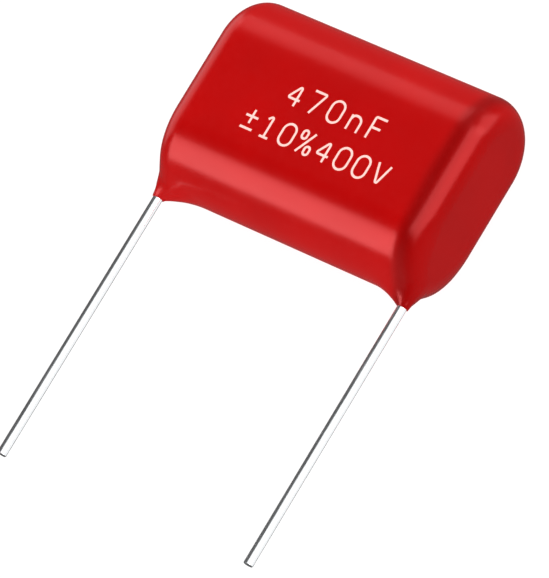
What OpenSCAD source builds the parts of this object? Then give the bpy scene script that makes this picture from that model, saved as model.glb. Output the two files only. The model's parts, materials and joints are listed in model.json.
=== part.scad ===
// Film capacitor with two radial wire leads, dipped in epoxy.
// It lies on its flat back: X runs along the body, the leads point to -Y and the front face looks up (+Z).
// The origin is the middle of the flat back.

/* [Leads] */
// Distance between the centre lines of the two leads
lead_pitch = 15; // [10:0.5:22.5]
// Diameter of the tinned wire
lead_d = 0.5; // [0.4:0.05:0.7]
// Free length of the left lead, from the tip of its skirt to its cut end
lead_len = 14.7; // [4:0.1:30]
// How much shorter the right lead is cut
right_trim = 0.4; // [0:0.1:2]
// Angle of the double bend inside each skirt, which steps the lead towards the middle
bend_angle = 30; // [20:1:40]
// Radius of each of the two bends, to the wire's centre line
bend_r = 1.2; // [1:0.1:1.6]
// Straight stretch between the two bends
bend_gap = 0.5; // [0.2:0.05:0.8]
// Height of each lead's inner end above the middle of the body
lead_top = 1.4; // [0:0.1:2]

/* [Coated body] */
// Height of the body, from its top edge to its bottom edge
body_h = 10.7; // [9:0.1:16]
// Thickness of the body, from its back to its front
body_t = 5.9; // [5:0.1:8]
// Radius of the corner between each end face and the rest of the body
corner_r = 1.4; // [0.8:0.1:1.8]
// Thickness of the epoxy on the flat faces and the round edges
coat_t = 0.55; // [0.4:0.05:0.8]
// Thickness of the epoxy between each free lead's line and its end face
end_coat_t = 0.3; // [0.2:0.05:0.6]

/* [Skirts of epoxy down the leads] */
// Depth of each skirt's tip below the body's bottom edge
skirt_depth = 0.57; // [0.4:0.01:1.5]
// Distance along the bottom edge, from the lead's centre line, at which the skirt leaves the body
skirt_reach = 2.5; // [1.5:0.1:3]
// Wall of epoxy round the wire at the skirt's tip
skirt_wall = 0.06; // [0.04:0.01:0.12]
// Angle at which the neck above each skirt's tip opens upwards
neck_flare = 15; // [5:1:20]
// How many times steeper the skirt is towards the end face than along the bottom edge
skirt_end_steepness = 2.4; // [1:0.1:3]
// How many times steeper the skirt is across the body than along the bottom edge
skirt_side_steepness = 1.55; // [1:0.05:2]
// Rise of the line where the end faces start to narrow towards the leads
end_narrowing = 1.5; // [0:0.1:2.5]

/* [Winding and end contacts] */
// Thickness of the plain film wrapped round the winding
wrap_t = 0.15; // [0.1:0.05:0.3]
// Thickness of the metal sprayed on each end of the winding
spray_t = 0.4; // [0.3:0.05:0.8]
// Bevel round the outer edge of the sprayed metal
spray_bevel = 0.12; // [0.05:0.01:0.2]
// Depth that each lead sinks into the sprayed metal at its weld
weld_sink = 0.1; // [0.05:0.01:0.15]
// Length of the solder, between the middles of its round ends
solder_len = 2.4; // [1:0.1:3]
// Radius of the solder's round back
solder_r = 0.8; // [0.6:0.05:1]
// Height of the solder above the sprayed metal
solder_h = 0.3; // [0.2:0.05:0.35]

/* [Hidden] */
$fn = 96;

mid_z = body_t / 2;
bottom_y = -body_h / 2;
tip_y = bottom_y - skirt_depth;
lead_x = lead_pitch / 2;

// A flat oval is two half rounds on centres this far apart, joined by flats
oval_gap = body_h - body_t;

// The body ends just outside the leads
body_l = lead_pitch + lead_d + 2 * end_coat_t;
end_clear = lead_d / 2 + end_coat_t;

// The two bends shift the lead sideways by step_x over a length of step_y
step_x = 2 * bend_r * (1 - cos(bend_angle)) + bend_gap * sin(bend_angle);
step_y = 2 * bend_r * sin(bend_angle) + bend_gap * cos(bend_angle);
// A bend is a hair thinner than the straights and ends just inside them, so that they join as one solid
bend_hair = 0.002;
bend_lap = 0.7;

// The leads' inner stretches lie in the sprayed metal, and the winding fills what is between
inner_x = lead_x - step_x;
spray_x = inner_x - lead_d / 2 + weld_sink;
winding_l = 2 * (spray_x - spray_t);
winding_t = body_t - 2 * (coat_t + wrap_t);

// The skirt's concave side is one arc, tangent to the body's bottom edge and ending at the tip
tip_r = lead_d / 2 + skirt_wall;
fillet_r = (pow(skirt_reach - tip_r, 2) + pow(skirt_depth, 2)) / (2 * skirt_depth);
// The lofted skin carries the skirt down to a collar, and a turned neck carries it on to the tip
collar_r = tip_r + 0.2 * end_coat_t;
// The body's rounded corner fills out over this distance to meet the lead
fill_reach = collar_r + 0.75 * corner_r;

// Stations along the skin, each [x, inset]: evenly spaced under the skirt, then by angle round the corner
skirt_steps = 5;
corner_steps = 12;
corner_x = body_l / 2 - corner_r;
skirt_x = min(lead_x - skirt_reach, corner_x - corner_r / 2);
half_stations = concat(
    [for (i = [0 : skirt_steps - 1]) [skirt_x + (corner_x - skirt_x) * i / skirt_steps, 0]],
    [for (i = [0 : corner_steps])
        let (turn = 90 * i / corner_steps)
        [corner_x + corner_r * sin(turn), corner_r * (1 - cos(turn))]]
);
stations = concat(
    [for (i = [len(half_stations) - 1 : -1 : 0]) [-half_stations[i][0], half_stations[i][1]]],
    half_stations
);

// Points round one section: fine at the bottom, where the leads are, and coarser over the top
bottom_steps = 28;
top_steps = 14;
ring_size = bottom_steps + top_steps + 2;

function smooth(t) = let (u = min(max(t, 0), 1)) u * u * (3 - 2 * u);

// Depth of the skirt's arc at a distance from the lead's centre line, level inside the collar
function skirt_drop(distance) =
    let (gap = skirt_reach - max(distance, collar_r))
    gap <= 0 ? 0 : fillet_r - sqrt(pow(fillet_r, 2) - pow(gap, 2));

// Distance from the nearer lead's centre line, stretched where the skirt is steeper
function from_lead(x, z) =
    let (out = abs(x) - lead_x)
    norm([out * (out > 0 ? skirt_end_steepness : 1), z * skirt_side_steepness]);

// The body's underside, filled out and drawn down near a lead
function underside(x, y, z) =
    let (distance = from_lead(x, z))
    let (fill = smooth((fill_reach - distance) / (fill_reach - collar_r)))
    bottom_y + (y - bottom_y) * (1 - fill) - skirt_drop(distance);

// Angles that crowd together at 0, the lowest point of the section
function crowded(i) = let (u = 2 * i / bottom_steps - 1) 90 * sign(u) * pow(abs(u), 1.4);

// One flat oval section, whose lower half round grows taller and starts higher as its inset grows
function section(x, inset) =
    let (r = body_t / 2 - inset, rise = end_narrowing * smooth(inset / corner_r))
    concat(
    [for (i = [0 : bottom_steps])
        let (turn = crowded(i), z = r * sin(turn))
        [x, underside(x, rise - oval_gap / 2 - (r + rise) * cos(turn), z), mid_z + z]],
    [for (i = [0 : top_steps])
        let (turn = 90 - 180 * i / top_steps)
        [x, oval_gap / 2 + r * cos(turn), mid_z + r * sin(turn)]]
);

// Lofts the dipped outer surface through its sections, from one end face to the other
module skin() {
    points = [for (s = stations) each section(s[0], s[1])];
    last = (len(stations) - 1) * ring_size;
    near_end = [for (i = [ring_size - 1 : -1 : 0]) i];
    far_end = [for (i = [0 : ring_size - 1]) last + i];
    sides = [for (s = [0 : len(stations) - 2], i = [0 : ring_size - 1])
        let (a = s * ring_size + i, b = s * ring_size + (i + 1) % ring_size)
        each [[a, b, b + ring_size], [a, b + ring_size, a + ring_size]]];
    polyhedron(points, concat([near_end, far_end], sides));
}

// Carries a half profile round a flat oval: its x runs outward and its y along the body
module oval_sweep() {
    translate([0, 0, mid_z]) rotate([0, 90, 0]) {
        for (flip = [0, 1]) mirror([0, flip, 0])
            translate([0, oval_gap / 2, 0]) rotate_extrude(angle = 180) children();
        rotate([90, 0, 0]) linear_extrude(oval_gap, center = true) {
            children();
            mirror([1, 0]) children();
        }
    }
}

// A flat oval block as long as the winding
module oval_block(thickness) {
    oval_sweep() translate([0, -winding_l / 2]) square([thickness / 2, winding_l]);
}

// The turned neck at a skirt's tip: a cone cut back by the same arc as the skin's
module skirt_neck() {
    collar_drop = skirt_drop(collar_r);
    slope = tan(neck_flare);
    translate([lead_x, bottom_y, mid_z]) rotate([90, 0, 0]) rotate_extrude() difference() {
        polygon([[0, 0], [collar_r + collar_drop * slope, 0],
            [collar_r - (skirt_depth - collar_drop) * slope, skirt_depth], [0, skirt_depth]]);
        translate([skirt_reach, fillet_r]) circle(fillet_r);
    }
}

// A straight wire, up along +Y
module wire(length) {
    rotate([-90, 0, 0]) cylinder(d = lead_d, h = length);
}

// A bend that turns a wire on its way up from +Y towards -X
module bend() {
    translate([-bend_r, 0, 0]) rotate(-bend_lap) rotate_extrude(angle = bend_angle + 2 * bend_lap)
        translate([bend_r, 0]) circle(lead_d / 2 - bend_hair);
}

// A lead on the right: its free length, the double bend in the skirt and the stretch that is welded
module lead(free_len = lead_len) {
    translate([lead_x, tip_y, mid_z]) {
        translate([0, -free_len, 0]) wire(free_len);
        bend();
        translate([-bend_r, 0, 0]) rotate(bend_angle) translate([bend_r, 0, 0]) {
            wire(bend_gap);
            translate([0, bend_gap, 0]) mirror([1, 0, 0]) bend();
        }
        translate([-step_x, step_y, 0]) wire(lead_top - tip_y - step_y);
    }
}

// Sprayed metal with the groove that the welded lead lies in
module end_spray() {
    r = winding_t / 2;
    difference() {
        oval_sweep() translate([0, winding_l / 2]) polygon([
            [0, 0], [r, 0], [r, spray_t - spray_bevel], [r - spray_bevel, spray_t], [0, spray_t]]);
        lead();
    }
}

// A long low mound of solder that grips the lead's sides and closes over its end
module solder() {
    difference() {
        translate([spray_x + solder_h - solder_r, lead_top - solder_len, mid_z])
            rotate([-90, 0, 0]) rotate_extrude() difference() {
                union() {
                    translate([-solder_r, 0]) square([2 * solder_r, solder_len]);
                    circle(solder_r);
                    translate([0, solder_len]) circle(solder_r);
                }
                translate([-2 * solder_r, -solder_len]) square([2 * solder_r, 3 * solder_len]);
            }
        translate([spray_x - 2 * solder_r, -body_h / 2, 0]) cube([2 * solder_r, body_h, body_t]);
        lead();
    }
}

module both_sides() {
    children();
    mirror([1, 0, 0]) children();
}

module epoxy_coating() {
    color("#c2141a") difference() {
        union() {
            skin();
            both_sides() skirt_neck();
        }
        oval_block(winding_t + 2 * wrap_t);
        both_sides() end_spray();
        both_sides() solder();
        both_sides() lead();
    }
}

module film_winding() {
    color("#b9bec6") oval_block(winding_t);
}

module cover_wrap() {
    color("#efe9d2") oval_sweep()
        translate([winding_t / 2, -winding_l / 2]) square([wrap_t, winding_l]);
}

module end_spray_left() {
    color("#8f9296") mirror([1, 0, 0]) end_spray();
}

module end_spray_right() {
    color("#8f9296") end_spray();
}

module solder_left() {
    color("#c7c9c6") mirror([1, 0, 0]) solder();
}

module solder_right() {
    color("#c7c9c6") solder();
}

module lead_left() {
    color("#dadcde") mirror([1, 0, 0]) lead();
}

module lead_right() {
    color("#dadcde") lead(lead_len - right_trim);
}

epoxy_coating();
film_winding();
cover_wrap();
end_spray_left();
end_spray_right();
solder_left();
solder_right();
lead_left();
lead_right();
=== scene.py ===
"""Looks of a dipped film capacitor: a glossy red skin of epoxy, two tinned leads and a pale
rating on its front."""

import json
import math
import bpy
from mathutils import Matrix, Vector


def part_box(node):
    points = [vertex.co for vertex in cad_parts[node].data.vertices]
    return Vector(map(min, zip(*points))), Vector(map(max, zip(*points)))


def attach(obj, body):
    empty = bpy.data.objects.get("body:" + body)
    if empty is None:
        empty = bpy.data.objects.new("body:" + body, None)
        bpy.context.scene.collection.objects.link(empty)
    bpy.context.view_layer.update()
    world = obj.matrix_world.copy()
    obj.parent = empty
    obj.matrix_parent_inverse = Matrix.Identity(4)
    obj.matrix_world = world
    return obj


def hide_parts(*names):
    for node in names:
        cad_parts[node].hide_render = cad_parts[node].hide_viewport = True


bl_info = {
    "name": "Dipped Film Capacitor",
    "version": (1, 0, 0),
    "blender": (4, 5, 0),
    "location": "View3D > Sidebar > Capacitor",
    "description": "Builds the looks of a dipped film capacitor round its packed frame",
    "category": "Add Mesh",
}

import bpy
from bpy.props import (
    FloatProperty, FloatVectorProperty, IntProperty, PointerProperty, StringProperty,
)
from mathutils import Matrix, Vector

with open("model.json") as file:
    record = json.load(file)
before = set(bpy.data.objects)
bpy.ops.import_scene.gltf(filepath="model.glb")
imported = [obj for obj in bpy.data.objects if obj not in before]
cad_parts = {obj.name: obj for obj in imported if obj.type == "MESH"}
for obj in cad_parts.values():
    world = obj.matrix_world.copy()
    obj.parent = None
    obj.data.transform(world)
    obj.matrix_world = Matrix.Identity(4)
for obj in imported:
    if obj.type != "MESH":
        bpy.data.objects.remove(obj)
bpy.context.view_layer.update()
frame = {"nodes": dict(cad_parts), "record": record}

MM = 0.001
# A quarter turn, in radians
QUARTER = math.pi / 2

# Sizes read off the frame: the skin's box, the right lead's box, the wire's radius and the
# place of its centre line
SKIN_LOW, SKIN_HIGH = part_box("epoxy_coating")
LEAD_LOW, LEAD_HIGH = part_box("lead_right")
MOUNTS = {mount["name"]: mount for mount in frame["record"]["mounts"]}
WIRE_RADIUS = MOUNTS["lead_right"]["dims"]["r_mm"] * MM
LEAD_X = MOUNTS["lead_right"]["pos_m"][0]
MID_Z = MOUNTS["lead_right"]["pos_m"][2]


def linear(hex_colour):
    """An sRGB hex colour such as #c81e1e as linear red, green, blue and alpha."""
    parts = [int(hex_colour[i:i + 2], 16) / 255 for i in (1, 3, 5)]
    # The sRGB curve has a straight foot and is a power above it
    return [p / 12.92 if p <= 0.04045 else ((p + 0.055) / 1.055) ** 2.4 for p in parts] + [1.0]


def length(name, description, millimetres):
    """A length property in metres, given in millimetres."""
    return FloatProperty(
        name=name, description=description, default=millimetres * MM, precision=5, unit="LENGTH"
    )


def turn(name, description, degrees):
    """An angle property in radians, given in degrees."""
    return FloatProperty(
        name=name, description=description, default=math.radians(degrees), unit="ROTATION"
    )


def number(name, description, value):
    """A plain number property."""
    return FloatProperty(name=name, description=description, default=value)


def colour(name, description, hex_colour):
    """A colour property with a hex default."""
    return FloatVectorProperty(
        name=name, description=description, default=linear(hex_colour), size=4,
        min=0.0, max=1.0, subtype="COLOR",
    )


def brightness(name, description, radiance):
    """The brightness of a light, as the radiance of its face."""
    return FloatProperty(name=name, description=description, default=radiance, min=0.0)


class SkinSettings(bpy.types.PropertyGroup):
    """Sizes and colours of the dipped epoxy."""

    corner_radius: length(
        "Corner radius", "Round between each end face and the rest of the body", 1.4
    )
    skirt_reach: length(
        "Skirt reach", "How far along the bottom edge each skirt begins from its lead", 2.5
    )
    end_steepness: number(
        "End steepness", "How many times steeper a skirt is towards the end face", 2.4
    )
    side_steepness: number(
        "Side steepness", "How many times steeper a skirt is across the body", 1.55
    )
    end_narrowing: length(
        "End narrowing", "Rise of the line where the end faces start to narrow", 1.5
    )
    tip_wall: length("Tip wall", "Epoxy round the wire at the skirt's tip", 0.06)
    tip_round: length("Tip round", "Round on the rim of the skirt's tip", 0.06)
    neck_steepness: number(
        "Neck steepness", "Rise of the epoxy's neck for each unit it widens by", 7.0
    )
    neck_blend: length("Neck blend", "Height over which the neck runs into the skirt", 0.4)
    red: colour("Red", "Colour of the pigment in the epoxy", "#a00000")
    pooled_red: colour(
        "Pooled red", "Colour where the pigment has pooled a little thicker", "#9a0000"
    )
    # Painted shade: the shoulder red and the stripe's place, width and drift paint a darker stripe
    # beside the right end's shoulder. The coat is no thinner there.
    painted_shade_red: colour("Shoulder red", "Colour where the coat thins over the shoulder", "#7c0000")
    shade_stripe_place: length(
        "Shoulder place", "Middle of the thin stripe, from the middle of the body", 7.0
    )
    shade_stripe_width: length("Shoulder width", "Half width of the thin stripe", 0.75)
    shade_stripe_drift: length(
        "Shoulder drift", "How far outwards the stripe runs on its way down to the skirt", 0.4
    )
    gloss_tint: colour(
        "Gloss tint", "Tint that the clear top of the epoxy gives to reflected light", "#ff7c7c"
    )
    refraction: number("Refraction", "Index of refraction of the epoxy's clear top", 1.8)
    least_roughness: number("Least roughness", "Roughness where the epoxy is glossiest", 0.22)
    most_roughness: number("Most roughness", "Roughness where the epoxy is dullest", 0.27)
    ripple_size: length("Ripple size", "Width of one ripple in the dipped surface", 1.6)
    ripple_depth: length("Ripple depth", "Depth of the ripples in the dipped surface", 0.002)


class LeadSettings(bpy.types.PropertyGroup):
    """Sizes and colours of the tinned wire."""

    bend_angle: turn("Bend angle", "Angle of the two bends in the skirt", 30)
    bend_radius: length("Bend radius", "Radius of each bend, to the wire's centre line", 1.2)
    cut_chamfer: length("Cut chamfer", "Edge rolled over by the cutters at the wire's end", 0.04)
    sides: IntProperty(
        name="Sides", description="Flat sides round the wire", default=40, min=8, max=96
    )
    tin: colour("Tin", "Colour of the bright tin", "#e2e4e6")


class PrintSettings(bpy.types.PropertyGroup):
    """The pale rating on the front face."""

    upper_line: StringProperty(name="Upper line", description="Capacitance", default="470nF")
    lower_line: StringProperty(
        name="Lower line", description="Tolerance and voltage", default="±10%400V"
    )
    letter_height: length(
        "Letter height", "Height of a figure, between the middles of its strokes", 1.16
    )
    letter_width: length(
        "Letter width", "Width of a figure, between the middles of its strokes", 0.72
    )
    upper_pitch: length(
        "Upper pitch", "Distance from one figure to the next in the upper line", 1.22
    )
    lower_pitch: length(
        "Lower pitch", "Distance from one figure to the next in the lower line", 1.12
    )
    line_gap: length("Line gap", "Distance between the two lines", 1.98)
    offset_x: length("Offset along", "Middle of the rating, from the middle of the body", 0.54)
    offset_y: length("Offset up", "Middle of the rating, from the middle of the body", -0.18)
    stroke: length("Stroke", "Width of a stroke of ink", 0.12)
    thickness: length("Thickness", "How far the ink stands on the epoxy", 0.006)
    ink: colour("Ink", "Colour of the ink", "#eebab2")


class StageSettings(bpy.types.PropertyGroup):
    """Floor, lights and camera."""

    floor: colour("Floor", "Colour of the floor", "#fbfbfb")
    room: brightness("Room", "Even light from all round", 0.12)
    lower_box: brightness("Lower box", "Strip light that lies along the lower round", 3.9)
    corner_box: brightness("Corner box", "Box light that lies on the corner of the end face", 2.3)
    crest_box: brightness(
        "Crest box", "Box light that carries the corner's highlight round its upper end", 1.7
    )
    upper_box: brightness("Upper box", "Wide light that lies along the upper round", 1.0)
    rim_box: brightness("Rim box", "Light that lies on the rim of the other end", 1.1)
    fill_low: brightness("Low fill", "Wide light from the leads' side that gives no highlight", 3.2)
    fill_high: brightness("High fill", "Wide light from the far side that gives no highlight", 3.7)
    table_light: brightness("Table light", "Light on the floor alone", 3.4)
    wire_top: brightness("Wire top", "Light along the top of the leads", 1.3)
    wire_side: brightness("Wire side", "Light along the side of the leads", 1.1)
    light_distance: length("Light distance", "From the part to each light", 600.0)
    view_turn: turn("View turn", "Turn of the camera round the part", 69.86)
    view_height: turn("View height", "Angle of the view above the floor", 56.36)
    view_roll: turn("View roll", "Roll of the camera about its own line of sight", -41.85)
    view_distance: length("View distance", "From the camera to the point it looks at", 291.5)
    view_aim: FloatVectorProperty(
        name="View aim", description="The point that the camera looks at", size=3,
        subtype="TRANSLATION", default=(-0.11 * MM, -7.26 * MM, 1.36 * MM),
    )
    lens: number("Lens", "Focal length in millimetres", 378.1)


def add(tree, kind, *values, links=None, **settings):
    """Adds a node. Settings are its own, values fill its inputs in order, and links fill them by
    name or index."""
    node = tree.nodes.new(kind)
    for name, setting in settings.items():
        setattr(node, name, setting)
    wanted = list(zip(node.inputs, values))
    wanted += [(node.inputs[key], value) for key, value in (links or {}).items()]
    for socket, value in wanted:
        if isinstance(value, bpy.types.Node):
            value = value.outputs[0]
        if isinstance(value, bpy.types.NodeSocket):
            tree.links.new(value, socket)
        elif value is not None:
            socket.default_value = value
    return node


MATH = "ShaderNodeMath"
RANGE = "ShaderNodeMapRange"
NOISE = "ShaderNodeTexNoise"
MIX = "ShaderNodeMix"
BUMP = "ShaderNodeBump"
XYZ = "ShaderNodeCombineXYZ"
SPLIT = "ShaderNodeSeparateXYZ"
VECTOR = "ShaderNodeVectorMath"
# The factor, the colours and the resulting colour of a mix node
FACTOR, MIX_A, MIX_B, MIX_RESULT = 0, 6, 7, 2


def geometry_tree(name, sizes, counts=(), takes_mesh=False):
    """A geometry tree with named inputs, and a dictionary of what each input gives."""
    tree = bpy.data.node_groups.new(name, "GeometryNodeTree")
    tree.interface.new_socket("Mesh", in_out="OUTPUT", socket_type="NodeSocketGeometry")
    if takes_mesh:
        tree.interface.new_socket("Line", in_out="INPUT", socket_type="NodeSocketGeometry")
    for size in sizes:
        tree.interface.new_socket(size, in_out="INPUT", socket_type="NodeSocketFloat")
    for count in counts:
        tree.interface.new_socket(count, in_out="INPUT", socket_type="NodeSocketInt")
    tree.interface.new_socket("Material", in_out="INPUT", socket_type="NodeSocketMaterial")
    group = add(tree, "NodeGroupInput")
    return tree, {socket.name: socket for socket in group.outputs if socket.name}


def end_tree(tree, mesh, material):
    """Ends a tree with plain geometry that carries its material."""
    real = add(tree, "GeometryNodeRealizeInstances", mesh)
    painted = add(tree, "GeometryNodeSetMaterial", real, None, material)
    add(tree, "NodeGroupOutput", painted)


def made_by(tree, name, values, line=None):
    """Runs a tree with its inputs set, and keeps what it makes as a plain mesh object."""
    piece = bpy.data.objects.new(name, line or bpy.data.meshes.new(name))
    bpy.context.scene.collection.objects.link(piece)
    modifier = piece.modifiers.new(name, "NODES")
    modifier.node_group = tree
    for item in tree.interface.items_tree:
        if item.in_out == "INPUT" and item.name in values:
            modifier[item.identifier] = values[item.name]
    shaped = piece.evaluated_get(bpy.context.evaluated_depsgraph_get())
    mesh = bpy.data.meshes.new_from_object(shaped)
    piece.modifiers.clear()
    piece.data = mesh
    mesh.name = name
    return piece


def ride_root(piece, slot, *nodes):
    """Hangs a finished piece under the root and hides the nodes that it stands for. The slot is not
    used.
    """
    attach(piece, "root")
    if nodes:
        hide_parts(*nodes)


def finish(name):
    """A new material: its tree, its surface node and the object's own coordinates."""
    material = bpy.data.materials.new(name)
    material.use_nodes = True
    tree = material.node_tree
    coords = add(tree, "ShaderNodeTexCoord").outputs["Object"]
    return material, tree, tree.nodes["Principled BSDF"], coords


def join(tree, surface, **sources):
    """Links sources to the surface's inputs, named with underscores for spaces."""
    for name, source in sources.items():
        socket = source if isinstance(source, bpy.types.NodeSocket) else source.outputs[0]
        tree.links.new(socket, surface.inputs[name.replace("_", " ").title()])


# Points along the skin and round it
STATIONS, POINTS_ROUND = 301, 241
# The skin's grid before it is wrapped runs from -1 to 1 along the body and round it
GRID_SPAN = 2.0
# Where the flat middle and the rounded corner end on the way from 0 to 1 along the body; the
# end face has the rest
FLAT_SHARE, CORNER_SHARE = 0.45, 0.9
# Where the lower round and the flat side end on the way from 0 to 1 round the body; the upper
# round has the rest
LOWER_SHARE, SIDE_SHARE = 0.66, 0.72
# How strongly the points crowd towards the lowest line, where the leads are
CROWDING = 1.4
# Points closer than this are one
WELD = 0.0001 * MM
# Added to the distance from a lead wherever its neck can't be
FAR = 10 * MM
# The collar is wider than the skirt's tip by this share of the coat on an end face
COLLAR_SHARE = 0.2
# The filled corner reaches past the collar by this share of the corner radius
FILL_SHARE = 0.75


def skirt_nodes(tree, size, out, z):
    """Nodes for the depth of the skirt's arc and the share of its filled corner, at a place
    beside the lead."""
    outside = add(tree, MATH, out, 0.0, operation="GREATER_THAN")
    extra = add(tree, MATH, size["End steepness"], 1.0, operation="SUBTRACT")
    steepness = add(tree, MATH, outside, extra, 1.0, operation="MULTIPLY_ADD")
    along = add(tree, MATH, out, steepness, operation="MULTIPLY")
    across = add(tree, MATH, z, size["Side steepness"], operation="MULTIPLY")
    offset = add(tree, XYZ, along, across)
    distance = add(tree, VECTOR, offset, operation="LENGTH").outputs["Value"]
    kept = add(tree, MATH, distance, size["Collar radius"], operation="MAXIMUM")
    gap = add(tree, MATH, size["Skirt reach"], kept, operation="SUBTRACT")
    gap = add(tree, MATH, gap, 0.0, operation="MAXIMUM")
    gap_squared = add(tree, MATH, gap, gap, operation="MULTIPLY")
    arc_squared = add(tree, MATH, size["Skirt arc"], size["Skirt arc"], operation="MULTIPLY")
    rest = add(tree, MATH, arc_squared, gap_squared, operation="SUBTRACT")
    root = add(tree, MATH, rest, operation="SQRT")
    drop = add(tree, MATH, size["Skirt arc"], root, operation="SUBTRACT")
    fill = add(
        tree, RANGE, distance, size["Fill reach"], size["Collar radius"], 0.0, 1.0,
        interpolation_type="SMOOTHSTEP",
    )
    return drop, fill


def neck_nodes(tree, size, out, z, y, share):
    """Nodes that draw the skirt's tip down the wire as a round, flaring neck with a flat rim."""
    offset = add(tree, XYZ, out, z)
    distance = add(tree, VECTOR, offset, operation="LENGTH").outputs["Value"]
    elsewhere = add(tree, MATH, 1.0, share, operation="SUBTRACT")
    distance = add(tree, MATH, elsewhere, FAR, distance, operation="MULTIPLY_ADD")
    beyond = add(tree, MATH, distance, size["Tip radius"], operation="SUBTRACT")
    beyond = add(tree, MATH, beyond, 0.0, operation="MAXIMUM")
    rise = size["Neck steepness"]
    neck = add(tree, MATH, beyond, rise, size["Tip level"], operation="MULTIPLY_ADD")
    y = add(tree, MATH, y, neck, size["Neck blend"], operation="SMOOTH_MIN")
    return add(tree, MATH, y, size["Tip level"], size["Tip round"], operation="SMOOTH_MAX")


SKIN_SIZES = (
    "Half length", "Half height", "Half thickness", "Middle height", "Lead place",
    "Corner radius", "End narrowing", "Skirt reach", "Skirt arc", "Collar radius", "Fill reach",
    "End steepness", "Side steepness", "Tip radius", "Tip level", "Tip round",
    "Neck steepness", "Neck blend",
)


def skin_tree():
    """The dipped skin: a grid wrapped round a flat oval, rounded to its end faces and drawn down
    each lead."""
    tree, size = geometry_tree("Dipped skin", SKIN_SIZES, ("Stations", "Points round"))
    grid = add(
        tree, "GeometryNodeMeshGrid", GRID_SPAN, GRID_SPAN, size["Stations"], size["Points round"]
    )
    place = add(tree, SPLIT, add(tree, "GeometryNodeInputPosition"))
    u, v = place.outputs["X"], place.outputs["Y"]
    along = add(tree, MATH, u, operation="ABSOLUTE")
    round_share = add(tree, MATH, v, operation="ABSOLUTE")

    # Along the body: the flat middle, the rounded corner, then the end face closing inwards
    corner = size["Corner radius"]
    flat_end = add(tree, MATH, size["Half length"], corner, operation="SUBTRACT")
    face_depth = add(tree, MATH, size["Half thickness"], corner, operation="SUBTRACT")
    flat = add(tree, RANGE, along, 0.0, FLAT_SHARE, 0.0, flat_end)
    bend = add(tree, RANGE, along, FLAT_SHARE, CORNER_SHARE, 0.0, QUARTER)
    inward = add(tree, RANGE, along, CORNER_SHARE, 1.0, 0.0, face_depth)
    sine = add(tree, MATH, bend, operation="SINE")
    x = add(tree, MATH, sine, corner, flat, operation="MULTIPLY_ADD")
    cosine = add(tree, MATH, bend, operation="COSINE")
    sunk = add(tree, MATH, 1.0, cosine, operation="SUBTRACT")
    inset = add(tree, MATH, sunk, corner, inward, operation="MULTIPLY_ADD")
    radius = add(tree, MATH, size["Half thickness"], inset, operation="SUBTRACT")
    radius = add(tree, MATH, radius, 0.0, operation="MAXIMUM")
    rise = add(
        tree, RANGE, inset, 0.0, corner, 0.0, size["End narrowing"],
        interpolation_type="SMOOTHSTEP",
    )

    # Round the section: the lower round, the flat side, then the upper round
    lower = add(tree, RANGE, round_share, 0.0, LOWER_SHARE, 0.0, 1.0)
    lower = add(tree, MATH, lower, CROWDING, operation="POWER")
    lower = add(tree, MATH, lower, QUARTER, operation="MULTIPLY")
    side = add(tree, RANGE, round_share, LOWER_SHARE, SIDE_SHARE, 0.0, 1.0)
    upper = add(tree, RANGE, round_share, SIDE_SHARE, 1.0, 0.0, QUARTER)
    half_gap = add(tree, MATH, size["Half height"], size["Half thickness"], operation="SUBTRACT")
    lower_reach = add(tree, MATH, radius, rise, operation="ADD")
    lower_cosine = add(tree, MATH, lower, operation="COSINE")
    hang = add(tree, MATH, lower_reach, lower_cosine, operation="MULTIPLY")
    start = add(tree, MATH, rise, half_gap, operation="SUBTRACT")
    y = add(tree, MATH, start, hang, operation="SUBTRACT")
    side_length = add(tree, MATH, half_gap, start, operation="SUBTRACT")
    y = add(tree, MATH, side, side_length, y, operation="MULTIPLY_ADD")
    upper_sine = add(tree, MATH, upper, operation="SINE")
    y = add(tree, MATH, upper_sine, radius, y, operation="MULTIPLY_ADD")
    lower_sine = add(tree, MATH, lower, operation="SINE")
    upper_cosine = add(tree, MATH, upper, operation="COSINE")
    width = add(tree, MATH, lower_sine, upper_cosine, operation="MULTIPLY")
    z = add(tree, MATH, width, radius, operation="MULTIPLY")

    # The underside fills out and is drawn down near a lead; the rest of the body stays as it is
    out = add(tree, MATH, x, size["Lead place"], operation="SUBTRACT")
    drop, fill = skirt_nodes(tree, size, out, z)
    low_part = add(tree, RANGE, round_share, LOWER_SHARE, SIDE_SHARE, 1.0, 0.0)
    rim_part = add(tree, RANGE, along, CORNER_SHARE, 1.0, 1.0, 0.0)
    share = add(tree, MATH, low_part, rim_part, operation="MULTIPLY")
    fill = add(tree, MATH, fill, share, operation="MULTIPLY")
    drop = add(tree, MATH, drop, share, operation="MULTIPLY")
    above = add(tree, MATH, y, size["Half height"], operation="ADD")
    filled = add(tree, MATH, above, fill, operation="MULTIPLY")
    y = add(tree, MATH, y, filled, operation="SUBTRACT")
    y = add(tree, MATH, y, drop, operation="SUBTRACT")
    y = neck_nodes(tree, size, out, z, y, share)

    x = add(tree, MATH, x, add(tree, MATH, u, operation="SIGN"), operation="MULTIPLY")
    face = add(tree, MATH, v, operation="SIGN")
    z = add(tree, MATH, z, face, size["Middle height"], operation="MULTIPLY_ADD")
    shaped = add(tree, "GeometryNodeSetPosition", grid, None, add(tree, XYZ, x, y, z))
    closed = add(tree, "GeometryNodeMergeByDistance", shaped, None, WELD)
    smooth = add(tree, "GeometryNodeSetShadeSmooth", closed)
    end_tree(tree, smooth, size["Material"])
    return tree


# Nearly all of a noise lies between these
NOISE_SPAN = (0.3, 0.7)
# A tighter part of it, for patches with clearer edges
PATCH_SPAN = (0.35, 0.65)


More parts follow.
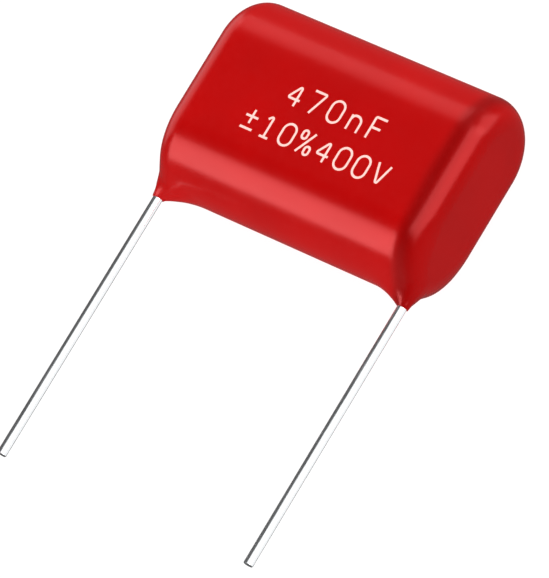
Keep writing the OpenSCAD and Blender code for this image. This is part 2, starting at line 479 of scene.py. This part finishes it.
def dipped_epoxy(skin):
    """Pigmented epoxy, dipped and cured: an even gloss with soft-edged highlights that waver a
    little, and a darker stripe of painted shade beside the shoulder of the right end. Its index of
    refraction is above epoxy's usual 1.55, because the highlights are brighter than that gives."""
    material, tree, surface, coords = finish("dipped_epoxy")
    shade_stripe_end = skin.shade_stripe_place + skin.shade_stripe_drift
    pool_width, grain_width = 4 * MM, MM / 3
    roughness = (skin.least_roughness, skin.most_roughness)
    cloud = add(tree, NOISE, links={"Vector": coords, "Scale": 1 / pool_width, "Detail": 2.0})
    tone = add(tree, RANGE, cloud, *PATCH_SPAN, 0.0, 1.0)
    body = add(
        tree, MIX, data_type="RGBA",
        links={FACTOR: tone, MIX_A: skin.pooled_red[:], MIX_B: skin.red[:]},
    ).outputs[MIX_RESULT]
    # Painted shade: a darker stripe beside the shoulder of the right end alone, drifting outwards
    # on its way down to the skirt
    place = add(tree, SPLIT, coords)
    drift = add(tree, RANGE, place.outputs["Y"], 0.0, SKIN_LOW.y, skin.shade_stripe_place, shade_stripe_end)
    away = add(tree, MATH, place.outputs["X"], drift, operation="SUBTRACT")
    away = add(tree, MATH, away, operation="ABSOLUTE")
    shaded = add(
        tree, RANGE, away, skin.shade_stripe_width, 0.0, 0.0, 1.0, interpolation_type="SMOOTHSTEP"
    )
    red_and_painted_shade = add(
        tree, MIX, data_type="RGBA",
        links={FACTOR: shaded, MIX_A: body, MIX_B: skin.painted_shade_red[:]},
    ).outputs[MIX_RESULT]
    ripple = add(
        tree, NOISE, links={"Vector": coords, "Scale": 1 / skin.ripple_size, "Detail": 1.0}
    )
    bump = add(
        tree, BUMP, links={"Height": ripple, "Distance": skin.ripple_depth, "Strength": 1.0}
    )
    fine = add(tree, NOISE, links={"Vector": coords, "Scale": 1 / grain_width, "Detail": 2.0})
    haze = add(tree, RANGE, fine, *NOISE_SPAN, *roughness)
    join(tree, surface, base_color=red_and_painted_shade, normal=bump, roughness=haze)
    surface.inputs["IOR"].default_value = skin.refraction
    surface.inputs["Specular Tint"].default_value = skin.gloss_tint[:]
    return material


class CAPACITOR_OT_skin(bpy.types.Operator):
    """Make the dipped epoxy skin with its two skirts"""

    bl_idname = "capacitor.skin"
    bl_label = "Dipped skin"

    def execute(self, context):
        skin = context.scene.capacitor_skin
        half_height = SKIN_HIGH.y
        skirt_depth = -half_height - SKIN_LOW.y
        tip_radius = WIRE_RADIUS + skin.tip_wall
        gap = skin.skirt_reach - tip_radius
        end_coat = SKIN_HIGH.x - LEAD_HIGH.x
        collar = tip_radius + COLLAR_SHARE * end_coat
        values = {
            "Half length": SKIN_HIGH.x,
            "Half height": half_height,
            "Half thickness": (SKIN_HIGH.z - SKIN_LOW.z) / 2,
            "Middle height": MID_Z,
            "Lead place": LEAD_X,
            "Corner radius": skin.corner_radius,
            "End narrowing": skin.end_narrowing,
            "Skirt reach": skin.skirt_reach,
            "Skirt arc": (gap ** 2 + skirt_depth ** 2) / (2 * skirt_depth),
            "Collar radius": collar,
            "Fill reach": collar + FILL_SHARE * skin.corner_radius,
            "End steepness": skin.end_steepness,
            "Side steepness": skin.side_steepness,
            "Tip radius": tip_radius,
            "Tip level": SKIN_LOW.y,
            "Tip round": skin.tip_round,
            "Neck steepness": skin.neck_steepness,
            "Neck blend": skin.neck_blend,
            "Stations": STATIONS,
            "Points round": POINTS_ROUND,
            "Material": dipped_epoxy(skin),
        }
        piece = made_by(skin_tree(), "dipped_skin", values)
        ride_root(piece, "epoxy", "epoxy_coating")
        return {"FINISHED"}


def line_mesh(name, strokes, attribute):
    """A mesh of bare edges: each stroke is a list of places, a list of one number for each place,
    and whether it is closed."""
    places, edges, numbers = [], [], []
    for points, given, closed in strokes:
        first = len(places)
        places += points
        numbers += given
        edges += [(first + i, first + i + 1) for i in range(len(points) - 1)]
        if closed:
            edges.append((len(places) - 1, first))
    mesh = bpy.data.meshes.new(name)
    mesh.from_pydata(places, edges, [])
    mesh.attributes.new(attribute, "FLOAT", "POINT").data.foreach_set("value", numbers)
    return mesh


# Straight steps in each bend of a lead
BEND_STEPS = 8
# Edges of a lead that turn more than this stay sharp
SHARP_EDGE = math.radians(30)


def lead_line(name, side, end_y, lead):
    """The centre line of one lead from its cut end up, with a thickness share at each point."""
    radius, angle = lead.bend_radius, lead.bend_angle
    step = LEAD_HIGH.x - LEAD_LOW.x - 2 * WIRE_RADIUS
    gap = (step - 2 * radius * (1 - math.cos(angle))) / math.sin(angle)
    turns = [angle * i / BEND_STEPS for i in range(BEND_STEPS + 1)]
    points = [(LEAD_X, end_y), (LEAD_X, end_y + lead.cut_chamfer)]
    points += [
        (LEAD_X - radius * (1 - math.cos(t)), SKIN_LOW.y + radius * math.sin(t)) for t in turns
    ]
    mid_x = points[-1][0] - gap * math.sin(angle)
    mid_y = points[-1][1] + gap * math.cos(angle)
    inner_x, level_y = LEAD_X - step, mid_y + radius * math.sin(angle)
    points += [
        (inner_x + radius * (1 - math.cos(t)), level_y - radius * math.sin(t))
        for t in reversed(turns)
    ]
    points.append((inner_x, LEAD_HIGH.y))
    taper = [1 - lead.cut_chamfer / WIRE_RADIUS] + [1.0] * (len(points) - 1)
    return line_mesh(name, [([(side * x, y, MID_Z) for x, y in points], taper, False)], "taper")


def wire_tree():
    """A round wire swept along a line, with its cut end rolled over."""
    tree, size = geometry_tree("Drawn wire", ("Wire radius",), ("Sides",), takes_mesh=True)
    line = add(tree, "GeometryNodeMeshToCurve", size["Line"])
    ring = add(
        tree, "GeometryNodeCurvePrimitiveCircle", size["Sides"],
        links={"Radius": size["Wire radius"]},
    )
    taper = add(tree, "GeometryNodeInputNamedAttribute", "taper")
    wire = add(tree, "GeometryNodeCurveToMesh", line, ring, taper, True)
    end_tree(tree, wire, size["Material"])
    return tree


def tinned_wire(lead):
    """Bright tinned copper: a soft mirror with faint lines along the wire from the drawing die."""
    material, tree, surface, coords = finish("tinned_wire")
    line_width, line_depth, stretch = 0.05 * MM, 0.0015 * MM, (1.0, 0.02, 1.0)
    roughness = (0.16, 0.3)
    stretched = add(tree, "ShaderNodeMapping", coords, links={"Scale": stretch})
    lines = add(tree, NOISE, links={"Vector": stretched, "Scale": 1 / line_width, "Detail": 2.0})
    bump = add(tree, BUMP, links={"Height": lines, "Distance": line_depth, "Strength": 1.0})
    rough = add(tree, RANGE, lines, *NOISE_SPAN, *roughness)
    join(tree, surface, normal=bump, roughness=rough)
    surface.inputs["Base Color"].default_value = lead.tin[:]
    surface.inputs["Metallic"].default_value = 1.0
    return material


class CAPACITOR_OT_leads(bpy.types.Operator):
    """Make the two tinned wire leads"""

    bl_idname = "capacitor.leads"
    bl_label = "Leads"

    def execute(self, context):
        lead = context.scene.capacitor_lead
        tree = wire_tree()
        values = {"Wire radius": WIRE_RADIUS, "Sides": lead.sides, "Material": tinned_wire(lead)}
        for node, side in (("lead_left", -1), ("lead_right", 1)):
            line = lead_line(node + "_line", side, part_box(node)[0].y, lead)
            piece = made_by(tree, "tinned_" + node, values, line)
            piece.data.set_sharp_from_angle(angle=SHARP_EDGE)
            ride_root(piece, "tinned_wire", node)
        return {"FINISHED"}


# The strokes of each figure in a box of 1 by 1: x, y and the round of the corner there as a
# share of the half width. A stroke that ends where it began is closed.
FIGURES = {
    "0": [[(0, 0, 1), (1, 0, 1), (1, 1, 1), (0, 1, 1), (0, 0, 1)]],
    "1": [[(0.15, 0.8, 0), (0.5, 1, 0), (0.5, 0, 0)], [(0.15, 0, 0), (0.85, 0, 0)]],
    "4": [[(0.74, 0, 0), (0.74, 1, 0), (0, 0.3, 0), (1, 0.3, 0)]],
    "7": [[(0, 1, 0), (1, 1, 0), (0.35, 0, 0)]],
    "F": [[(0.95, 1, 0), (0.05, 1, 0), (0.05, 0, 0)], [(0.05, 0.52, 0), (0.8, 0.52, 0)]],
    "V": [[(0, 1, 0), (0.5, 0, 0), (1, 1, 0)]],
    "n": [
        [(0.08, 0, 0), (0.08, 0.7, 0)],
        [(0.08, 0.5, 0), (0.22, 0.7, 0.5), (0.92, 0.7, 0.9), (0.92, 0, 0)],
    ],
    "%": [
        [(0.08, 0, 0), (0.92, 1, 0)],
        [(-0.06, 0.62, 1), (0.34, 0.62, 1), (0.34, 1, 1), (-0.06, 1, 1), (-0.06, 0.62, 1)],
        [(0.66, 0, 1), (1.06, 0, 1), (1.06, 0.38, 1), (0.66, 0.38, 1), (0.66, 0, 1)],
    ],
    "±": [
        [(0.5, 0.3, 0), (0.5, 0.94, 0)],
        [(0, 0.62, 0), (1, 0.62, 0)],
        [(0, 0.06, 0), (1, 0.06, 0)],
    ],
}
# Every corner turns on a radius of at least this many times half the stroke, so that its inner
# side doesn't pinch
LEAST_BEND = 1.15
# Points in the round of a corner, and sides of a stroke before it is flattened
CORNER_POINTS, BEAD_SIDES = 6, 12
# Points of the joined strokes closer than this are one
INK_WELD = 10 * WELD


def rating_strokes(settings):
    """The strokes of both lines, each as its places, the round of each corner and whether it is
    closed."""
    wide, high = settings.letter_width, settings.letter_height
    least = LEAST_BEND * settings.stroke
    lines = (
        (settings.upper_line, settings.upper_pitch, settings.line_gap / 2),
        (settings.lower_line, settings.lower_pitch, -settings.line_gap / 2),
    )
    for text, pitch, level in lines:
        left = settings.offset_x - (len(text) - 1) * pitch / 2 - wide / 2
        low = settings.offset_y + level - high / 2
        for place, figure in enumerate(text):
            for stroke in FIGURES[figure]:
                closed = stroke[0] == stroke[-1]
                kept = stroke[:-1] if closed else stroke
                start = left + place * pitch
                points = [(start + x * wide, low + y * high, 0.0) for x, y, _ in kept]
                yield points, [max(share * wide, least) / 2 for _, _, share in kept], closed


def ink_tree():
    """Strokes of ink: lines with rounded corners swept as beads, joined, and flattened on the
    front face."""
    sizes = ("Stroke", "Thickness", "Face height")
    tree, size = geometry_tree("Printed strokes", sizes, ("Corner points",), takes_mesh=True)
    line = add(tree, "GeometryNodeMeshToCurve", size["Line"])
    corner = add(tree, "GeometryNodeInputNamedAttribute", "corner")
    rounded = add(
        tree, "GeometryNodeFilletCurve", line, mode="POLY",
        links={"Radius": corner, "Count": size["Corner points"], "Limit Radius": True},
    )
    half = add(tree, MATH, size["Stroke"], 0.5, operation="MULTIPLY")
    ring = add(tree, "GeometryNodeCurvePrimitiveCircle", BEAD_SIDES, links={"Radius": half})
    beads = add(tree, "GeometryNodeCurveToMesh", rounded, ring, links={"Fill Caps": True})
    joined = add(
        tree, "GeometryNodeMeshBoolean", operation="UNION", solver="EXACT",
        links={"Mesh 2": beads, "Self Intersection": True},
    )
    welded = add(tree, "GeometryNodeMergeByDistance", joined, None, INK_WELD)
    flatness = add(tree, MATH, size["Thickness"], half, operation="DIVIDE")
    x, y, z = add(tree, SPLIT, add(tree, "GeometryNodeInputPosition")).outputs
    level = add(tree, MATH, z, flatness, size["Face height"], operation="MULTIPLY_ADD")
    put = add(tree, XYZ, x, y, level)
    flat = add(tree, "GeometryNodeSetPosition", welded, None, put)
    end_tree(tree, flat, size["Material"])
    return tree


def pale_ink(settings):
    """Pad-printed ink, cured on the epoxy: nearly opaque, a little patchy and duller than the
    skin."""
    material, tree, surface, coords = finish("pale_ink")
    patch_width, shades, roughness = MM / 8, (0.9, 1.0), 0.5
    grain = add(tree, NOISE, links={"Vector": coords, "Scale": 1 / patch_width, "Detail": 3.0})
    shade = add(tree, RANGE, grain, *NOISE_SPAN, *shades)
    tint = add(
        tree, MIX, data_type="RGBA", blend_type="MULTIPLY",
        links={FACTOR: 1.0, MIX_A: settings.ink[:], MIX_B: shade},
    ).outputs[MIX_RESULT]
    join(tree, surface, base_color=tint)
    surface.inputs["Roughness"].default_value = roughness
    return material


class CAPACITOR_OT_rating(bpy.types.Operator):
    """Print the rating on the front face"""

    bl_idname = "capacitor.rating"
    bl_label = "Rating"

    def execute(self, context):
        settings = context.scene.capacitor_print
        values = {
            "Stroke": settings.stroke,
            "Thickness": settings.thickness,
            "Face height": SKIN_HIGH.z,
            "Corner points": CORNER_POINTS,
            "Material": pale_ink(settings),
        }
        line = line_mesh("rating_line", rating_strokes(settings), "corner")
        piece = made_by(ink_tree(), "rating_print", values, line)
        ride_root(piece, "epoxy")
        return {"FINISHED"}


def metallised_film():
    """Polypropylene film with a vapour-deposited metal layer, wound and pressed: a grey mirror
    whose turns show as fine lines. Real turns are a few micrometres apart, and the lines are
    drawn 0.2 mm apart so that they show."""
    material, tree, surface, coords = finish("metallised_film")
    line_gap, line_depth, roughness = 0.2 * MM, 0.004 * MM, (0.22, 0.38)
    # The turns are flat ovals round the winding's long axis
    centre, flattening = (0.0, 0.0, -MID_Z), (0.0, 0.6, 1.0)
    centred = add(
        tree, "ShaderNodeMapping", coords, links={"Location": centre, "Scale": flattening}
    )
    distance = add(tree, VECTOR, centred, operation="LENGTH").outputs["Value"]
    turns = add(tree, MATH, distance, 2 * math.pi / line_gap, operation="MULTIPLY")
    wave = add(tree, MATH, turns, operation="SINE")
    bump = add(tree, BUMP, links={"Height": wave, "Distance": line_depth, "Strength": 1.0})
    rough = add(tree, RANGE, wave, -1.0, 1.0, *roughness)
    join(tree, surface, normal=bump, roughness=rough)
    surface.inputs["Base Color"].default_value = linear("#b7bcc4")
    surface.inputs["Metallic"].default_value = 1.0
    return material


def plain_film():
    """Bare polypropylene film, the last turns of the winding: clear and slightly milky, with
    faint stretch lines."""
    material, tree, surface, coords = finish("plain_film")
    line_width, line_depth, stretch = MM / 6, 0.002 * MM, (1.0, 0.1, 0.1)
    roughness, index, clearness = 0.18, 1.49, 0.35
    dark, light = linear("#e9e4d2"), linear("#f4f1e6")
    stretched = add(tree, "ShaderNodeMapping", coords, links={"Scale": stretch})
    lines = add(tree, NOISE, links={"Vector": stretched, "Scale": 1 / line_width, "Detail": 2.0})
    bump = add(tree, BUMP, links={"Height": lines, "Distance": line_depth, "Strength": 1.0})
    milk = add(tree, MIX, data_type="RGBA", links={FACTOR: lines, MIX_A: dark, MIX_B: light})
    join(tree, surface, normal=bump, base_color=milk.outputs[MIX_RESULT])
    surface.inputs["Roughness"].default_value = roughness
    surface.inputs["IOR"].default_value = index
    surface.inputs["Transmission Weight"].default_value = clearness
    return material


def sprayed_zinc():
    """Zinc sprayed on the winding's ends: a matt grey crust of frozen droplets, each about
    0.08 mm wide."""
    material, tree, surface, coords = finish("sprayed_zinc")
    drop_width, drop_height, roughness = 0.08 * MM, 0.012 * MM, (0.5, 0.75)
    crown, gap = linear("#9b9ea1"), linear("#74777b")
    drops = add(tree, "ShaderNodeTexVoronoi", links={"Vector": coords, "Scale": 1 / drop_width})
    bump = add(tree, BUMP, links={"Height": drops, "Distance": drop_height, "Strength": 0.8})
    tone = add(
        tree, MIX, data_type="RGBA", links={FACTOR: drops, MIX_A: crown, MIX_B: gap}
    ).outputs[MIX_RESULT]
    rough = add(tree, RANGE, drops, 0.0, 1.0, *roughness)
    join(tree, surface, normal=bump, base_color=tone, roughness=rough)
    surface.inputs["Metallic"].default_value = 1.0
    return material


def cooled_solder():
    """Tin solder, melted on and cooled: bright, with a faint frost of crystals about 0.15 mm
    wide."""
    material, tree, surface, coords = finish("cooled_solder")
    crystal_width, crystal_depth, roughness = 0.15 * MM, 0.004 * MM, (0.2, 0.42)
    frost = add(tree, NOISE, links={"Vector": coords, "Scale": 1 / crystal_width, "Detail": 3.0})
    bump = add(tree, BUMP, links={"Height": frost, "Distance": crystal_depth, "Strength": 0.7})
    rough = add(tree, RANGE, frost, *NOISE_SPAN, *roughness)
    join(tree, surface, normal=bump, roughness=rough)
    surface.inputs["Base Color"].default_value = linear("#cdcfcd")
    surface.inputs["Metallic"].default_value = 1.0
    return material


class CAPACITOR_OT_inside(bpy.types.Operator):
    """Give the sealed inner pieces their finishes"""

    bl_idname = "capacitor.inside"
    bl_label = "Inside"

    def execute(self, context):
        finishes = (
            (metallised_film(), ("film_winding",)),
            (plain_film(), ("cover_wrap",)),
            (sprayed_zinc(), ("end_spray_left", "end_spray_right")),
            (cooled_solder(), ("solder_left", "solder_right")),
        )
        for material, nodes in finishes:
            for node in nodes:
                for slot in frame["nodes"][node].material_slots:
                    slot.material = material
        return {"FINISHED"}


# The groups of pieces that a light can be kept to
COAT = ("dipped_skin", "rating_print")
WIRES = ("tinned_lead_left", "tinned_lead_right")
TABLE = ("floor",)
# Where the lights are: the way from the part, the axis of the body that the light's width
# follows, its width and height as angles in degrees seen from the part, and the pieces that it
# lights. The floor has a light of its own, so that it is even and the part throws hardly any
# shadow.
LIGHTS = (
    ("lower_box", (-0.48, -0.65, 0.59), (1, 0, 0), 31, 39, COAT + WIRES),
    ("corner_box", (0.79, 0.19, 0.60), (0, 1, 0), 44, 52, COAT + WIRES),
    ("crest_box", (0.68, 0.68, 0.24), (0, 1, 0), 38, 40, COAT),
    ("upper_box", (-0.52, 0.64, 0.56), (1, 0, 0), 40, 28, COAT + WIRES),
    ("rim_box", (-0.96, 0.19, 0.22), (0, 1, 0), 50, 40, COAT),
    ("fill_low", (0.12, -0.98, 0.15), (1, 0, 0), 60, 60, COAT),
    ("fill_high", (-0.15, 0.80, 0.58), (1, 0, 0), 60, 60, COAT),
    ("wire_top", (0.38, 0.19, 0.91), (0, 1, 0), 70, 75, WIRES),
    ("wire_side", (0.92, 0.19, -0.34), (0, 1, 0), 70, 100, WIRES),
    ("table_light", (0, 0, 1), (1, 0, 0), 60, 60, TABLE),
)
# The lights that aren't seen in anything glossy
MATT_LIGHTS = ("fill_low", "fill_high")
# How far the floor reaches each way, in metres. It is a hair below the flat back, so that the
# two faces don't coincide.
FLOOR_REACH, FLOOR_LEVEL = 3.0, -0.02 * MM


def only(pieces, name):
    """A collection of some pieces, for a light that lights or is blocked by them alone."""
    chosen = bpy.data.collections.new(name)
    for piece in pieces:
        chosen.objects.link(bpy.data.objects[piece])
    return chosen


def softbox(name, way, axis, width, height, pieces, distance, radiance):
    """A rectangular soft light that fills an angle seen from the part, with its width along an
    axis."""
    back = Vector(way).normalized()
    side = (Vector(axis) - back * back.dot(Vector(axis))).normalized()
    light = bpy.data.lights.new(name, "AREA")
    light.shape = "RECTANGLE"
    light.size = 2 * distance * math.tan(math.radians(width / 2))
    light.size_y = 2 * distance * math.tan(math.radians(height / 2))
    light.energy = radiance * math.pi * light.size * light.size_y
    lamp = bpy.data.objects.new(name, light)
    turned = Matrix((side, back.cross(side), back)).transposed().to_4x4()
    lamp.matrix_world = Matrix.Translation(back * distance) @ turned
    lamp.visible_camera = False
    lamp.visible_glossy = name not in MATT_LIGHTS
    lamp.light_linking.receiver_collection = only(pieces, name + "_lights")
    lamp.light_linking.blocker_collection = only(pieces, name + "_blockers")
    bpy.context.scene.collection.objects.link(lamp)


def pale_board(stage):
    """Matt painted board: an even pale floor with hardly any grain."""
    material, tree, surface, coords = finish("pale_board")
    grain_width, grain_depth, roughness, sheen = 5 * MM, 0.01 * MM, 0.9, 0.1
    grain = add(tree, NOISE, links={"Vector": coords, "Scale": 1 / grain_width, "Detail": 2.0})
    bump = add(tree, BUMP, links={"Height": grain, "Distance": grain_depth, "Strength": 0.2})
    join(tree, surface, normal=bump)
    surface.inputs["Base Color"].default_value = stage.floor[:]
    surface.inputs["Roughness"].default_value = roughness
    surface.inputs["Specular IOR Level"].default_value = sheen
    return material


class CAPACITOR_OT_stage(bpy.types.Operator):
    """Set out the floor, the lights and the camera"""

    bl_idname = "capacitor.stage"
    bl_label = "Stage"

    def execute(self, context):
        scene = context.scene
        stage = scene.capacitor_stage
        mesh = bpy.data.meshes.new("floor")
        corners = [
            (x * FLOOR_REACH, y * FLOOR_REACH, FLOOR_LEVEL)
            for x, y in ((-1, -1), (1, -1), (1, 1), (-1, 1))
        ]
        mesh.from_pydata(corners, [], [(0, 1, 2, 3)])
        mesh.materials.append(pale_board(stage))
        floor = bpy.data.objects.new("floor", mesh)
        floor.visible_glossy = False
        scene.collection.objects.link(floor)

        world = bpy.data.worlds.new("studio")
        world.use_nodes = True
        background = world.node_tree.nodes["Background"]
        background.inputs["Color"].default_value = (1, 1, 1, 1)
        background.inputs["Strength"].default_value = stage.room
        scene.world = world
        for name, *rest in LIGHTS:
            softbox(name, *rest, stage.light_distance, getattr(stage, name))

        camera = bpy.data.cameras.new("camera")
        camera.lens = stage.lens
        eye = bpy.data.objects.new("camera", camera)
        turned = (
            Matrix.Rotation(stage.view_turn, 4, "Z")
            @ Matrix.Rotation(QUARTER - stage.view_height, 4, "X")
            @ Matrix.Rotation(stage.view_roll, 4, "Z")
        )
        back = turned.col[2].to_3d() * stage.view_distance
        eye.matrix_world = Matrix.Translation(Vector(stage.view_aim) + back) @ turned
        scene.collection.objects.link(eye)
        scene.camera = eye
        scene.view_settings.view_transform = "Standard"
        return {"FINISHED"}


OPERATORS = (
    CAPACITOR_OT_skin, CAPACITOR_OT_leads, CAPACITOR_OT_rating, CAPACITOR_OT_inside,
    CAPACITOR_OT_stage,
)
SETTINGS = {
    "capacitor_skin": SkinSettings,
    "capacitor_lead": LeadSettings,
    "capacitor_print": PrintSettings,
    "capacitor_stage": StageSettings,
}


class CAPACITOR_PT_panel(bpy.types.Panel):
    """Buttons for each piece"""

    bl_label = "Dipped Film Capacitor"
    bl_idname = "CAPACITOR_PT_panel"
    bl_space_type = "VIEW_3D"
    bl_region_type = "UI"
    bl_category = "Capacitor"

    def draw(self, context):
        for operator in OPERATORS:
            self.layout.operator(operator.bl_idname)
        for name, settings in SETTINGS.items():
            box = self.layout.box()
            for setting in settings.__annotations__:
                box.prop(getattr(context.scene, name), setting)


def register():
    for name, settings in SETTINGS.items():
        bpy.utils.register_class(settings)
        setattr(bpy.types.Scene, name, PointerProperty(type=settings))
    for shown in OPERATORS + (CAPACITOR_PT_panel,):
        bpy.utils.register_class(shown)


def unregister():
    for shown in OPERATORS + (CAPACITOR_PT_panel,):
        bpy.utils.unregister_class(shown)
    for name, settings in SETTINGS.items():
        delattr(bpy.types.Scene, name)
        bpy.utils.unregister_class(settings)


def main():
    register()
    for operator in OPERATORS:
        group, action = operator.bl_idname.split(".")
        getattr(getattr(bpy.ops, group), action)()


if __name__ == "__main__":
    main()
